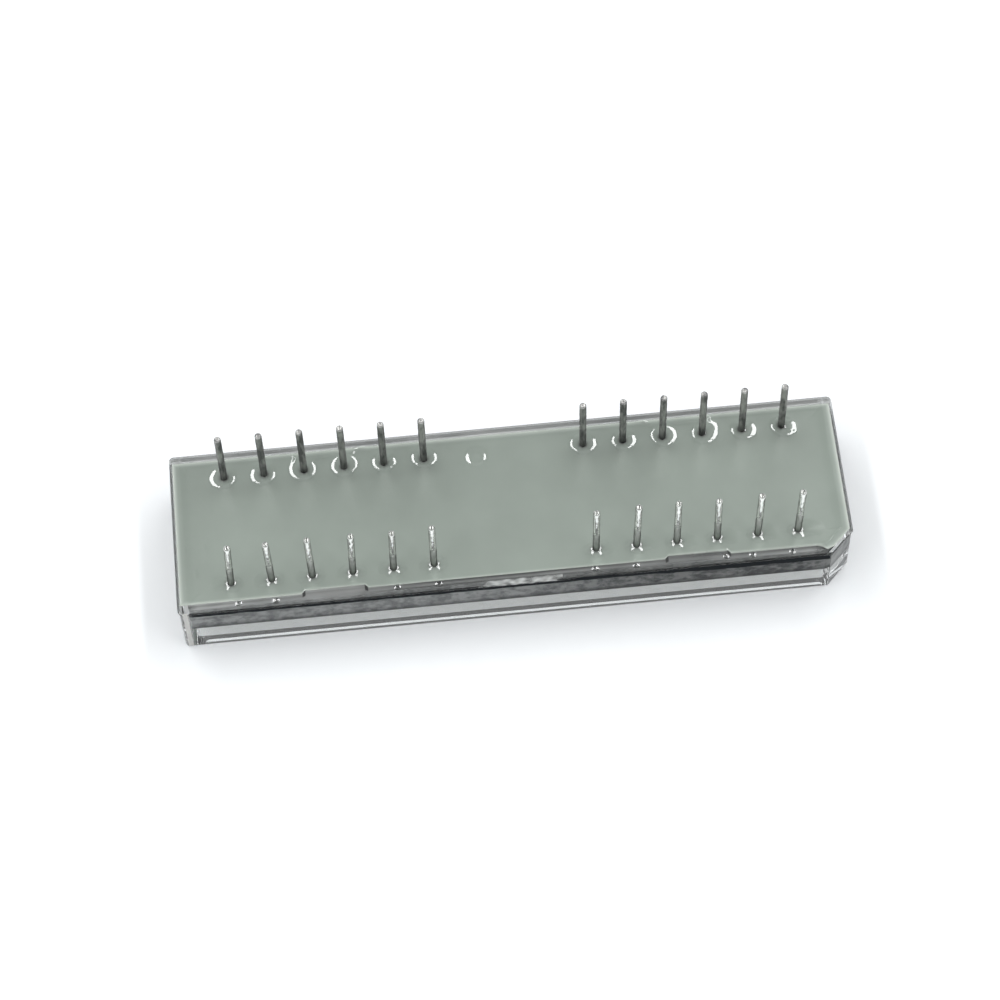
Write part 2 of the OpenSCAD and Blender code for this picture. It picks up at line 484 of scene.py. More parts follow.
# The epoxy's collar round each far pin: its radius in tenths of a mm every 30 degrees
# from the right, turning left, then where its left and right shoulders are steep
# enough to catch the lamps
collars = {
    16: ((6.3, 6.5, 7.0, 7.8, 8.1, 8.0, 8.2, 7.8, 7.1, 6.2, 6.0, 6.3), (130, 250), (312, 368)),
    17: ((6.4, 6.6, 7.0, 7.5, 7.5, 7.5, 7.6, 7.7, 7.0, 6.0, 5.7, 6.3), (145, 248), (310, 372)),
    18: ((6.8, 7.3, 8.2, 9.6, 11.2, 9.1, 8.2, 7.3, 6.6, 6.0, 6.0, 6.2), (108, 242), (325, 405)),
    19: ((7.8, 8.8, 9.1, 8.8, 8.3, 7.6, 7.0, 6.2, 6.0, 6.0, 6.0, 6.1), (100, 226), (325, 420)),
    20: ((7.1, 7.0, 7.5, 8.0, 7.5, 7.0, 6.3, 5.5, 5.0, 5.0, 5.0, 5.8), (145, 230), (312, 385)),
    21: ((7.7, 8.0, 8.0, 8.0, 7.8, 7.6, 6.7, 5.5, 5.0, 5.0, 5.2, 6.4), (145, 222), (312, 388)),
    25: ((7.7, 8.0, 8.0, 8.0, 7.8, 7.7, 7.3, 6.0, 5.8, 5.8, 6.0, 7.0), (145, 236), (302, 385)),
    26: ((7.6, 7.6, 7.2, 6.8, 6.4, 6.2, 6.2, 5.4, 5.2, 5.5, 6.4, 7.0), (145, 216), (296, 385)),
    27: ((8.3, 8.9, 8.8, 8.2, 7.6, 7.2, 6.1, 5.3, 5.2, 5.6, 6.5, 7.2), (125, 216), (298, 432)),
    28: ((9.0, 11.0, 10.6, 8.0, 6.2, 5.9, 5.6, 5.4, 5.6, 6.5, 7.6, 8.1), (140, 206), (282, 420)),
    29: ((8.3, 8.1, 7.5, 6.6, 6.0, 5.7, 6.0, 5.5, 5.4, 5.8, 7.3, 8.0), (160, 206), (284, 384)),
    30: ((8.4, 8.0, 7.0, 6.2, 5.8, 5.8, 6.0, 5.4, 5.4, 6.2, 7.9, 9.0), (160, 220), (284, 375)),
}

# slopes of the far collars, where they stay dull and where they show a lamp
shoulder = {
    "front": 0.42,            # the side turned to the viewer
    "dullShare": 0.6,
    "dullMost": 0.3,
    "litShare": 1.03,
    "litExtra": 0.018,
    "least": 0.08,
    "fade": 8,                # degrees from dull to lit
    "aside": 4,               # degrees to each side, to tell which way it faces
}
turnStep = 5                  # degrees between two rows of a collar's table

# the two creases down each near pin's collar, degrees from the right
creases = {
    15: (238, None), 14: (236, 311), 13: (242, None), 12: (233, 305), 11: (229, 315), 10: (227, 312),
    6: (225, 306), 5: (224, 308), 4: (225, 306), 3: (226, 294), 2: (219, 303), 1: (217, 303),
}

# the near collars: height at the pin in mm, slope beside the creases, how fast a crease fades
cone = {
    "rise": 0.125,
    "lowerBehind": 0.05,
    "slopeShare": 0.78,
    "slopeBelow": 0.065,
    "slopeMost": 0.3,
    "slopeLeast": 0.07,
    "creaseReach": 0.9,
    "creaseOuter": 1.6,
    "creaseInner": 0.25,
}


def shoulderRadius(number, turn):
    # smooth radius in metres at this angle in degrees
    radii = collars[number][0]
    place = turn / 30 % 12
    k = int(place)
    share = place - k
    share = share * share * (3 - 2 * share)
    return (radii[k] + (radii[(k + 1) % 12] - radii[k]) * share) * 0.1 * mm


def slopeForLamp(px, py, turn):
    # how steep a face that leans this way must be to show the strip lamp on that side
    eye = Vector(view["place"]) - Vector((px, py, fillHigh.z))
    eye.normalize()
    lean = Vector((math.cos(turn), math.sin(turn), 0))
    side = 1 if lean.x > 0 else -1
    low, high = 0.0, 1.6
    for step in range(24):
        slope = (low + high) / 2
        up = (lean * slope + Vector((0, 0, 1))).normalized()
        back = up * (2 * up.dot(eye)) - eye
        short = back.z > 0 and side * (px + back.x / back.z * lamps["height"]) < lamps["apart"]
        if short:
            low = slope
        else:
            high = slope
    return min(high, 1.0)


def shoulderTable(number):
    # a far collar's radius, width and height, all round
    px, py = pinPlaces[number]
    arcs = collars[number][1:]
    fade, aside = shoulder["fade"], shoulder["aside"]
    table = []
    for turn in range(0, 360, turnStep):
        radius = shoulderRadius(number, turn)
        before, after = shoulderRadius(number, turn - aside), shoulderRadius(number, turn + aside)
        swing = (after - before) / math.radians(2 * aside) / radius
        lean = math.radians(turn) - math.atan(swing)
        needed = slopeForLamp(px, py, lean) / math.hypot(1, swing)
        lit = 0
        for first, last in arcs:
            for at in (turn, turn + 360):
                lit = max(lit, min((at - first + fade) / fade, (last + fade - at) / fade, 1))
        dull = min(needed * shoulder["dullShare"], shoulder["dullMost"])
        if math.sin(lean) < -0.9:
            dull = shoulder["front"]
        slope = dull + (needed * shoulder["litShare"] + shoulder["litExtra"] - dull) * lit
        slope = max(slope, shoulder["least"])
        width = min(potting["collarRise"] / 4 / slope, potting["widest"])
        table.append((radius, width, 4 * slope * width))
    return table


def coneTable(number):
    # how high a near collar stands on its pin, and how steep it is, all round
    px, py = pinPlaces[number]
    table = []
    for turn in range(0, 360, turnStep):
        needed = slopeForLamp(px, py, math.radians(turn))
        slope = min(needed * cone["slopeShare"], needed - cone["slopeBelow"], cone["slopeMost"])
        slope = max(slope, cone["slopeLeast"])
        for crease in creases[number]:
            if crease is None:
                continue
            off = math.radians(turn - crease)
            outward = off if crease > 270 else -off
            if abs(off) < cone["creaseReach"]:
                crest = slopeForLamp(px, py, math.radians(crease))
                fall = cone["creaseOuter"] if outward > 0 else cone["creaseInner"]
                slope = max(slope, crest * (1 - fall * off * off))
        rise = (cone["rise"] - cone["lowerBehind"] * max(math.sin(math.radians(turn)), 0)) * mm
        table.append((rise, slope))
    return table


collarTables = {}
for number, (pinX, pinY) in pinPlaces.items():
    collarTables[number] = coneTable(number) if pinY < 0 else shoulderTable(number)
print("collars worked out")


def lugDepth(x):
    # how far the wall stands in at this place along it
    past = abs(abs(x) - potting["lugCentre"]) - potting["lugRoot"] / 2 + potting["lugDepth"]
    return potting["lugDepth"] - within(past, 0, potting["lugDepth"])


def wallLines(x):
    # the wall's inner faces, near and far, at this place along them
    near = fillLow.y + lugDepth(x) + max(x - (fillHigh.x - potting["keyLeg"]), 0)
    return near, fillHigh.y - lugDepth(x)


def borderLines(x):
    # where the epoxy ends on the rim; it covers the far lugs
    near = wallLines(x)[0]
    cut = (x - (fillHigh.x - potting["keyLeg"])) / potting["keyTurn"]
    swell = potting["keySwell"]
    lap = potting["lapNear"] + swell * within(cut + 1)
    lap += (potting["lapKey"] - potting["lapNear"] - swell) * within(cut)
    return near - lap, fillHigh.y + potting["lapFar"]


def insideWall(x, y):
    near, far = wallLines(x)
    return min(y - near, far - y, x - fillLow.x, fillHigh.x - x)


def insideBorder(x, y):
    near, far = borderLines(x)
    ends = min(x - fillLow.x + potting["lapLeft"], fillHigh.x + potting["lapRight"] - x)
    return max(min(y - near, far - y, ends), 0)


def ontoWall(x, y):
    # a border point moved in to the wall that it wets
    out = potting["overlap"]
    near, far = wallLines(within(x, fillLow.x, fillHigh.x))
    return within(x, fillLow.x - out, fillHigh.x + out), within(y, near - out, far + out)


def nearestPin(x, y):
    return min(pinPlaces, key=lambda p: (pinPlaces[p][0] - x) ** 2 + (pinPlaces[p][1] - y) ** 2)


def collarHeight(number, x, y):
    px, py = pinPlaces[number]
    away = math.hypot(x - px, y - py)
    table = collarTables[number]
    place = math.degrees(math.atan2(y - py, x - px)) / turnStep % len(table)
    k = int(place)
    here, after = table[k], table[(k + 1) % len(table)]
    row = [low + (high - low) * (place - k) for low, high in zip(here, after)]
    past = max(away - pinRadius, 0)
    if py < 0:
        rise, slope = row
        soft = potting["coneSoft"]
        height = slope * soft * math.log(1 + math.exp(min((rise / slope - past) / soft, 60)))
    else:
        radius, width, full = row
        height = full / (1 + math.exp(min((away - radius) / width, 40)))
    return height + potting["wetRise"] * math.exp(-past / potting["wetReach"])


def fillHeight(x, y):
    inside = insideWall(x, y)
    reach = potting["edgeReach"]
    if min(x - fillLow.x, fillHigh.x - x) < inside + 1e-6:
        reach = potting["endReach"]
    z = fillHigh.z + potting["edgeRise"] * math.exp(-max(inside, 0) / reach)
    for ridgeX, ridgeY, long, wide, turn, high in potting["ridges"]:
        dx, dy = x / mm - ridgeX, y / mm - ridgeY
        if dx * dx + dy * dy < 1:
            cosine, sine = math.cos(math.radians(turn)), math.sin(math.radians(turn))
            along = (dx * cosine + dy * sine) / long
            across = (dy * cosine - dx * sine) / wide
            z += high * mm * math.exp(-along ** 2 - across ** 2)
    if inside < 0:
        toBorder = insideBorder(x, y)
        z -= potting["lapDrop"] * (1 - toBorder / max(toBorder - inside, 1e-9)) ** 2
        return z
    z += collarHeight(nearestPin(x, y), x, y)
    craterX, craterY = potting["craterAt"]
    away = math.hypot(x - craterX, y - craterY) / potting["craterRadius"]
    z -= potting["craterDepth"] * math.exp(-away ** 4)
    return z + wander(x, y, potting["wave"]) + wander(x, y, potting["ripple"])


def stopsAlong():
    first = fillLow.x - potting["lapLeft"]
    last = fillHigh.x + potting["lapRight"]
    fine, reach = potting["fine"], potting["pinZone"]
    columns = sorted({round(px, 6) for px, py in pinPlaces.values()})
    zones = [(px - reach, px + reach, fine) for px in columns]
    zones.append((first, first + potting["endZone"], potting["endStep"]))
    zones.append((last - potting["endZone"], last, potting["endStep"]))
    craterX, reach = potting["craterAt"][0], potting["craterZone"]
    zones.append((craterX - reach, craterX + reach, fine))
    for side in (-1, 1):
        for end in (-1, 1):
            at = side * potting["lugCentre"] + end * potting["lugRoot"] / 2
            zones.append((at - potting["lugZone"], at + potting["lugZone"], potting["lugStep"]))
    return spacing(first, last, potting["coarse"], zones)


def stopsAcross():
    row = abs(pinPlaces[1][1])
    fine, edge = potting["fine"], potting["edgeStep"]
    nearOut, nearIn = potting["nearRowZone"]
    farIn, farOut = potting["farRowZone"]
    zones = [
        (fillLow.y, fillLow.y + potting["nearEdgeZone"], edge),
        (-row - nearOut, -row + nearIn, fine),
        (row - farIn, row + farOut, fine),
        (fillHigh.y - potting["farEdgeZone"], fillHigh.y, edge),
    ]
    return spacing(fillLow.y, fillHigh.y, potting["coarseAcross"], zones)


def paintPotting(mesh):
    # where it is pale, where it has painted shade and where it is steep
    rims, paintedShade, steep = [], [], []
    for vertex in mesh.vertices:
        x, y = vertex.co.xy
        rims.append(math.exp(-(insideBorder(x, y) / potting["paleReach"]) ** 2))
        px, py = pinPlaces[nearestPin(x, y)]
        away = math.hypot(x - px, y - py) - pinRadius
        # soft painted shadows round the feet and in front of the far row
        strength, wide, deep, ahead = potting["nearShadow"]
        if py > 0:
            strength, wide, deep, ahead = potting["farShadow"]
            strength += wander(x, y, potting["shadowWander"])
        dx, dy = (x - px) / mm, (y - py) / mm
        shadow = strength * math.exp(-(dx / wide) ** 2 - ((dy + ahead) / deep) ** 2)
        paintedShade.append(max(math.exp(-max(away, 0) / potting["footShadeReach"]), shadow, 0))
        upright = vertex.normal.z
        slope = math.sqrt(max(1 - upright * upright, 0)) / max(upright, 0.05)
        steep.append(within((slope - potting["shineFrom"]) / potting["shineOver"]))
    paint(mesh, "rim", rims)
    paint(mesh, "collar", paintedShade)
    paint(mesh, "steep", steep)


def makePotting():
    xs, vs = stopsAlong(), stopsAcross()
    pivot = potting["pivot"]
    points = []
    for x in xs:
        near, far = borderLines(x)
        for y in vs:
            if y > pivot:
                y = pivot + (y - pivot) * (far - pivot) / (fillHigh.y - pivot)
            elif y < -pivot:
                y = -pivot + (y + pivot) * (near + pivot) / (fillLow.y + pivot)
            points.append((x, y, fillHeight(x, y)))
    rows = len(vs)
    faces = gridFaces(len(xs), rows)
    topFaces = len(faces)
    # skirt from the border down to the board, against the wall, with a near-black band of painted shade a
    # little below its top
    lastX, lastY = len(xs) - 1, rows - 1
    border = [i * rows for i in range(lastX + 1)]
    border += [lastX * rows + j for j in range(1, lastY + 1)]
    border += [i * rows + lastY for i in range(lastX - 1, -1, -1)]
    border += [j for j in range(lastY - 1, 0, -1)]
    count = len(border)
    ring = border
    for level, height in enumerate(potting["skirt"]):
        start = len(points)
        for k in border:
            x, y, z = points[k]
            if level > 0:
                x, y = ontoWall(x, y)
            uneven = wander(x, y, potting["skirtWander"]) if level in (2, 3) else 0
            points.append((x, y, height + uneven))
        for k in range(count):
            after = (k + 1) % count
            faces.append((ring[after], ring[k], start + k, start + after))
        ring = [start + k for k in range(count)]
    faces.append(tuple(ring))
    mesh = meshFrom("potting", points, faces)
    for face in mesh.polygons[topFaces:]:
        face.use_smooth = False
        band = (face.index - topFaces) // count
        face.material_index = (0, 0, 1, 2, 1, 1)[band]
    paintPotting(mesh)
    piece = addObject("potting", mesh, "grey_epoxy", epoxy, wetSide, voidShadow)
    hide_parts("backfill_epoxy")
    print("potting faces", len(mesh.polygons))


makePotting()
print("potting poured")

# epoxy that seeped down between the board and the wall
film = {
    "top": 3.44 * mm,
    "foot": 1.97 * mm,
    "thick": 0.05 * mm,
    "corner": 0.048 * mm,
    "step": 0.4 * mm,
}


def filmOutline(inset):
    halfX = fillHigh.x + potting["overlap"] - inset
    halfY = fillHigh.y + potting["overlap"] - inset
    leg = potting["keyLeg"] - inset * 0.586   # 2 minus the root of 2, for the slanted corner
    cut = film["corner"]
    loop = [(halfX - leg, -halfY), (halfX, leg - halfY), (halfX, halfY - cut), (halfX - cut, halfY)]
    loop += [(cut - halfX, halfY), (-halfX, halfY - cut), (-halfX, cut - halfY), (cut - halfX, -halfY)]
    fine = []
    for k, (x, y) in enumerate(loop):
        nextX, nextY = loop[(k + 1) % len(loop)]
        parts = max(1, round(math.hypot(nextX - x, nextY - y) / film["step"]))
        fine += [(x + (nextX - x) * i / parts, y + (nextY - y) * i / parts) for i in range(parts)]
    return fine


def makeFilm():
    outer = filmOutline(0)
    inner = filmOutline(film["thick"])
    top, foot = film["top"], film["foot"]
    count = min(len(outer), len(inner))
    points, faces = [], []
    for loop, z in ((outer, top), (outer, foot), (inner, foot), (inner, top)):
        points += [(x, y, z) for x, y in loop[:count]]
    for ring in range(4):
        here, there = ring * count, (ring + 1) % 4 * count
        for k in range(count):
            after = (k + 1) % count
            faces.append((here + after, here + k, there + k, there + after))
    addObject("seepedEpoxy", meshFrom("seepedEpoxy", points, faces, False), "grey_epoxy", mottled)


makeFilm()
print("seeped film in")

pinShape = {
    "around": 28,
    "rings": 46,
    "tipRings": 8,
    "tipHeight": 0.17 * mm,
    "tipPower": 0.7,
    "lump": 0.024 * mm,
    "lumpRound": 2.2,         # how fast the lumps change round the pin
    "lumpUp": 2.4,            # and up it, per mm
    "lumpFine": 2.6,          # how much finer the small ones are
    "hollow": 0.09 * mm,
    "tail": 0.32 * mm,
    # how far each tip is bent aside, in mm
    "bent": {
        15: (0.16, -0.14), 14: (-0.04, -0.14), 13: (-0.04, -0.09), 12: (0.1, -0.12),
        11: (0.08, -0.18), 10: (0, -0.06), 6: (0, -0.12), 5: (0.08, 0),
        3: (-0.06, -0.08), 2: (0.07, 0), 1: (0.07, 0),
    },
}


def pinRings():
    # height and share of the full radius, from inside the board up to the rounded tip
    bare = fillHigh.z
    shaft = pinTop - pinShape["tipHeight"]
    rings = [(boardLow.z - pinShape["tail"], 1.0), (bare - 0.1 * mm, 1.0)]
    for k in range(pinShape["rings"]):
        rings.append((bare + (shaft - bare) * k / (pinShape["rings"] - 1), 1.0))
    for k in range(1, pinShape["tipRings"]):
        turn = k / pinShape["tipRings"] * math.pi / 2
        height = shaft + pinShape["tipHeight"] * math.sin(turn)
        rings.append((height, math.cos(turn) ** pinShape["tipPower"]))
    return rings


def makePin(number):
    px, py = pinPlaces[number]
    near = py < 0
    seed = Vector((number * 7.3, number * 3.1, 0))
    bare = fillHigh.z
    around = pinShape["around"]
    bentX, bentY = pinShape["bent"].get(number, (0, 0))
    rings = pinRings()
    points = []
    for z, share in rings:
        up = max(z - bare, 0) / (pinTop - bare)
        cx, cy = px + bentX * mm * up, py + bentY * mm * up
        for j in range(around):
            turn = 2 * math.pi * j / around
            flat = Vector((math.cos(turn), math.sin(turn), 0))
            at = flat * pinShape["lumpRound"] + Vector((0, 0, z / mm * pinShape["lumpUp"])) + seed
            lump = noise.noise(at) * 0.6 + noise.noise(at * pinShape["lumpFine"]) * 0.4
            lump = (lump - 0.35) * pinShape["lump"] if z > bare else -pinShape["lump"] * 0.4
            radius = (pinRadius + min(lump, 0)) * share
            points.append((cx + flat.x * radius, cy + flat.y * radius, z))
    # a small hollow in the tinned tip of the near ones
    points.append((cx, cy, pinTop - pinShape["hollow"] if near else pinTop))
    faces = ringFaces(0, len(rings), around)
    top = (len(rings) - 1) * around
    for j in range(around):
        faces.append((top + j, top + (j + 1) % around, len(points) - 1))
    faces.append(tuple(reversed(range(around))))
    mesh = meshFrom(f"pin{number}", points, faces)
    mesh.polygons[-1].use_smooth = False
    piece = addObject(f"pin{number}", mesh, "tinned_pin", brightTin if near else roughShadedTin)
    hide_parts(f"pin_{number}")


for number in pinNumbers:
    makePin(number)
print("pins set")

case = {
    "rimRound": 0.085 * mm,
    "edgeRound": 0.03 * mm,
    "ledge": 0.25 * mm,
    "ledgeWorn": 0.11 * mm,   # how much its moulded edge rounds back
    "endBlock": 0.62 * mm,
    # a rim edge is an outer one when its wall looks out from beyond these
    "outerX": 18 * mm,
    "outerY": 3.5 * mm,
    # how near a face must lie to the case's own ends and sides to count as them
    "endBand": 0.3 * mm,
    "sideBand": 0.15 * mm,
}


def outerRim(normals, ends):
    if any(end.z <= caseHigh.z - 1e-6 for end in ends):
        return False
    for normal in normals:
        for end in ends:
            outward = normal.x * end.x > case["outerX"] or normal.y * end.y > case["outerY"]
            if abs(normal.z) < 0.5 and outward:
                return True
    return False


def edgeWeights(mesh):
    # how much each sharp edge is softened, most along the outside of the rim
    facing = {}
    for face in mesh.polygons:
        for key in face.edge_keys:
            facing.setdefault(tuple(sorted(key)), []).append(face.normal)
    weights = mesh.attributes.new("bevel_weight_edge", "FLOAT", "EDGE")
    for edge in mesh.edges:
        normals = facing.get(tuple(sorted(edge.vertices)), [])
        if len(normals) == 2 and normals[0].dot(normals[1]) < 0.8:
            ends = [mesh.vertices[k].co for k in edge.vertices]
            weight = 1 if outerRim(normals, ends) else case["edgeRound"] / case["rimRound"]
            weights.data[edge.index].value = weight


def makeCase():
    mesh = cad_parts["lens_cover"].data.copy()
    mesh.materials.clear()
    shell = bmesh.new()
    shell.from_mesh(mesh)
    bmesh.ops.remove_doubles(shell, verts=shell.verts, dist=1e-7)
    bmesh.ops.dissolve_limit(shell, angle_limit=math.radians(1), verts=shell.verts, edges=shell.edges)
    for vertex in shell.verts:
        if abs(abs(vertex.co.y) - (fillHigh.y - case["ledge"])) < 1e-6:
            vertex.co.y += math.copysign(case["ledgeWorn"], vertex.co.y)
    blockAt = caseHigh.x - case["endBlock"]
    for side in (-1, 1):
        parts = shell.verts[:] + shell.edges[:] + shell.faces[:]
        bmesh.ops.bisect_plane(shell, geom=parts, plane_co=(side * blockAt, 0, 0), plane_no=(1, 0, 0))
    shell.to_mesh(mesh)
    shell.free()
    edgeWeights(mesh)
    piece = addObject("clearCase", mesh, "clear_plastic", plastic, frosted, hazed)
    for face in mesh.polygons:
        face.use_smooth = False
        x, y, z = face.center
        endFace = abs(face.normal.x) > 0.9 and abs(x) > caseHigh.x - case["endBand"]
        endFoot = face.normal.z < -0.9 and z < 1e-5 and abs(x) > blockAt
        if endFace or endFoot:
            face.material_index = 1
        # the left end of the long faces is hazed all through
        longFace = abs(face.normal.y) > 0.9 and abs(y) > caseHigh.y - case["sideBand"]
        if longFace and x < -blockAt:
            face.material_index = 2
    soften = piece.modifiers.new("softEdges", "BEVEL")
    soften.width = case["rimRound"]
    soften.segments = 3
    soften.limit_method = "WEIGHT"
    soften.use_clamp_overlap = True
    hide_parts("lens_cover")


makeCase()
print("case moulded")

# painted shade: a near-black sheet in the corner under the near lip, for the black band of shade on the
# wall there
lipShadeBand = {
    "ends": (-20.35 * mm, 19.6 * mm),
    "wallFace": -5.608 * mm,
    "lipFace": -5.706 * mm,
    "top": 4.315 * mm,
    # its lower edge at the left and right, and where it drops
    "left": 3.9 * mm,
    "right": 3.66 * mm,
    "drop": (8 * mm, 12 * mm),
    "wander": (0.09 * mm, 900),
    # how far it runs up over the lip, and a hump in it: middle, half length, height
    "ontoLip": 0.004 * mm,
    "hump": (4.95 * mm, 1.3 * mm, 0.19 * mm),
    "parts": 200,
}


def makeLipShadeSheet():
    first, last = lipShadeBand["ends"]
    start, end = lipShadeBand["drop"]
    middle, long, high = lipShadeBand["hump"]
    wanderSize, wanderScale = lipShadeBand["wander"]
    wall, lip, top = lipShadeBand["wallFace"], lipShadeBand["lipFace"], lipShadeBand["top"]
    points = []
    for i in range(lipShadeBand["parts"] + 1):
        x = first + (last - first) * i / lipShadeBand["parts"]
        share = within((x - start) / (end - start))
        low = lipShadeBand["left"] + (lipShadeBand["right"] - lipShadeBand["left"]) * share
        low += wanderSize * noise.noise(Vector((x, 0, 3)) * wanderScale)
        rise = lipShadeBand["ontoLip"] + high * math.exp(-((x - middle) / long) ** 2)
        points += [(x, wall, low), (x, wall, top), (x, lip, top), (x, lip, top + rise)]
    mesh = meshFrom("lipShadeSheet", points, gridFaces(lipShadeBand["parts"] + 1, 4), False)
    addObject("lipShadeSheet", mesh, "grey_epoxy", lipShadeBlack)


makeLipShadeSheet()


def addSkin(name, points, rows, flip, covers, tones):
    # a thin skin of epoxy, covering and pale by its own amount at each point
    mesh = meshFrom(name, points, gridFaces(len(points) // rows, rows, flip))
    paint(mesh, "cover", covers)
    paint(mesh, "tone", tones)
    addObject(name, mesh, "grey_epoxy", smeared)


# an old smear of resin on the rim's outer edge
driedResin = {
    "start": -2.5,
    "long": 5.3,
    "parts": 72,
    # across the edge: y, z
    "across": [
        (-5.33, 4.531), (-5.4, 4.532), (-5.48, 4.532), (-5.56, 4.532), (-5.62, 4.528),
        (-5.66, 4.515), (-5.69, 4.49), (-5.704, 4.45), (-5.706, 4.4), (-5.706, 4.35),
    ],
    # how many parts along and rows across it takes to fade in
    "fadeAlong": 9,
    "fadeAcross": 1.6,
    "mostCover": 0.92,
    "raggedness": 1.1,
    "thinner": 0.1,
    "tone": 0.42,
    "toneSpread": 0.35,
    # noise scale, and how far apart the rows lie in it
    "coverGrain": (1900, 0.12 * mm),
    "toneGrain": (2600, 0.15 * mm),
}


def makeDriedResin():
    across, parts = driedResin["across"], driedResin["parts"]
    coverScale, coverRow = driedResin["coverGrain"]
    toneScale, toneRow = driedResin["toneGrain"]
    points, covers, tones = [], [], []
    for i in range(parts + 1):
        x = (driedResin["start"] + driedResin["long"] * i / parts) * mm
        for j, (y, z) in enumerate(across):
            points.append((x, y * mm, z * mm))
            grain = noise.noise(Vector((x, j * coverRow, 0)) * coverScale)
            along = min(i, parts - i) / driedResin["fadeAlong"]
            aside = min(j, len(across) - 1 - j) / driedResin["fadeAcross"]
            cover = min(along, aside, 1) + grain * driedResin["raggedness"] - driedResin["thinner"]
            covers.append(within(cover, 0, driedResin["mostCover"]))
            mottle = noise.noise(Vector((x, j * toneRow, 7)) * toneScale)
            tones.append(driedResin["tone"] + driedResin["toneSpread"] * mottle)
    addSkin("driedResin", points, len(across), True, covers, tones)


makeDriedResin()

smear = {
    "step": 0.25 * mm,
    # how far it stays from the case's ends, at the left and right
    "farEnds": (0.03 * mm, 0.03 * mm),
    "nearEnds": (0.3 * mm, 1.8 * mm),
    # across the far rim: y, z, how well it covers, how pale it is
    "far": [
        (5.1, 4.534, 0.0, 0.5), (5.18, 4.531, 0.5, 0.5), (5.25, 4.529, 0.6, 0.4),
        (5.33, 4.528, 0.7, 0.27), (5.42, 4.528, 0.72, 0.24), (5.55, 4.528, 0.78, 0.24),
        (5.63, 4.523, 0.8, 0.25), (5.68, 4.498, 0.8, 0.2), (5.703, 4.455, 0.8, 0.18),
        (5.705, 4.33, 0.75, 0.18),
    ],
    # across the near rim: y, z, then cover and paleness at the left, middle and right
    "near": [
        # in the middle its inner rows are near black: painted shade along the gap between the potting and
        # the wall
        (-4.97, 4.542, 0.0, 0.5, 0.0, 0.1, 0.0, 0.3), (-5.03, 4.54, 0.0, 0.5, 0.88, 0.05, 0.3, 0.3),
        (-5.1, 4.534, 0.5, 0.5, 0.8, 0.09, 0.6, 0.2), (-5.17, 4.529, 0.62, 0.28, 0.6, 0.25, 0.6, 0.21),
        (-5.24, 4.528, 0.62, 0.32, 0.6, 0.31, 0.6, 0.33), (-5.31, 4.528, 0.62, 0.44, 0.6, 0.18, 0.6, 0.42),
        (-5.38, 4.528, 0.6, 0.48, 0.5, 0.12, 0.6, 0.4), (-5.45, 4.528, 0.55, 0.33, 0.5, 0.16, 0.5, 0.25),
        (-5.52, 4.528, 0.5, 0.2, 0.5, 0.15, 0.5, 0.22), (-5.59, 4.527, 0.5, 0.24, 0.5, 0.09, 0.5, 0.26),
        (-5.645, 4.519, 0.3, 0.22, 0.4, 0.04, 0.4, 0.14), (-5.69, 4.49, 0.0, 0.2, 0.2, 0.04, 0.0, 0.1),
    ],
    "zones": (-17 * mm, -5 * mm, 3 * mm, 17 * mm),
    # finer steps, and how far they reach, round the lip's corners and the ends of the lugs
    "cornerStep": 0.05 * mm,
    "cornerZone": 0.45 * mm,
    "lugStep": 0.04 * mm,
    "lugZone": 0.35,
    "lugEnds": (-13.4, -9.3, 9.3, 13.4),
    # painted shade: dark on the slanted ends of the lugs, inward of this line
    "lugLine": -5.28,
    "slantFrom": 0.01 * mm,
    "lugCover": 0.85,
    "lugShade": 0.03,
    # where its inner part starts to follow the lugs, and over what width
    "bendFrom": -5.45,
    "bendOver": 0.35,
    "lipCorner": 0.4 * mm,
    "offLip": 0.005 * mm,
}


def nearShares(row, x):
    # cover and paleness at this x, blended between the left, middle and right
    left, middle, right = row[2:4], row[4:6], row[6:8]
    leftEnd, midStart, midEnd, rightStart = smear["zones"]
    toMiddle = within((x - leftEnd) / (midStart - leftEnd))
    toRight = within((x - midEnd) / (rightStart - midEnd))
    mixed = []
    for k in (0, 1):
        share = left[k] + (middle[k] - left[k]) * toMiddle
        mixed.append(share + (right[k] - share) * toRight)
    return mixed


def cornerLine(x):
    # how far out the lip reaches at this x, round its corners
    radius = smear["lipCorner"]
    past = max(abs(x) - caseHigh.x + radius, 0)
    return caseHigh.y + smear["offLip"] - radius + math.sqrt(max(radius ** 2 - past ** 2, 0))


def makeFarSmear():
    first, last = caseLow.x + smear["farEnds"][0], caseHigh.x - smear["farEnds"][1]
    reach, step = smear["cornerZone"], smear["cornerStep"]
    zones = [(first, first + reach, step), (last - reach, last, step)]
    points, covers, tones = [], [], []
    for x in spacing(first, last, smear["step"], zones):
        for y, z, cover, tone in smear["far"]:
            points.append((x, min(y * mm, cornerLine(x)), z * mm))
            covers.append(cover)
            tones.append(tone)
    addSkin("farSmear", points, len(smear["far"]), False, covers, tones)


def makeNearSmear():
    first, last = caseLow.x + smear["nearEnds"][0], caseHigh.x - smear["nearEnds"][1]
    reach, step = smear["lugZone"], smear["lugStep"]
    zones = [((at - reach) * mm, (at + reach) * mm, step) for at in smear["lugEnds"]]
    points, covers, tones = [], [], []
    for x in spacing(first, last, smear["step"], zones):
        onSlant = smear["slantFrom"] < lugDepth(x) < potting["lugDepth"] - smear["slantFrom"]
        fade = min((x - first) / mm, (last - x) / mm, 1)
        for row in smear["near"]:
            y, z = row[:2]
            bend = lugDepth(x) * within((y - smear["bendFrom"]) / smear["bendOver"])
            cover, tone = nearShares(row, x)
            if onSlant and y > smear["lugLine"]:
                cover, tone = smear["lugCover"], smear["lugShade"]
            points.append((x, y * mm + bend, z * mm))
            covers.append(cover * fade)
            tones.append(tone)
    addSkin("nearSmear", points, len(smear["near"]), True, covers, tones)


makeFarSmear()
makeNearSmear()

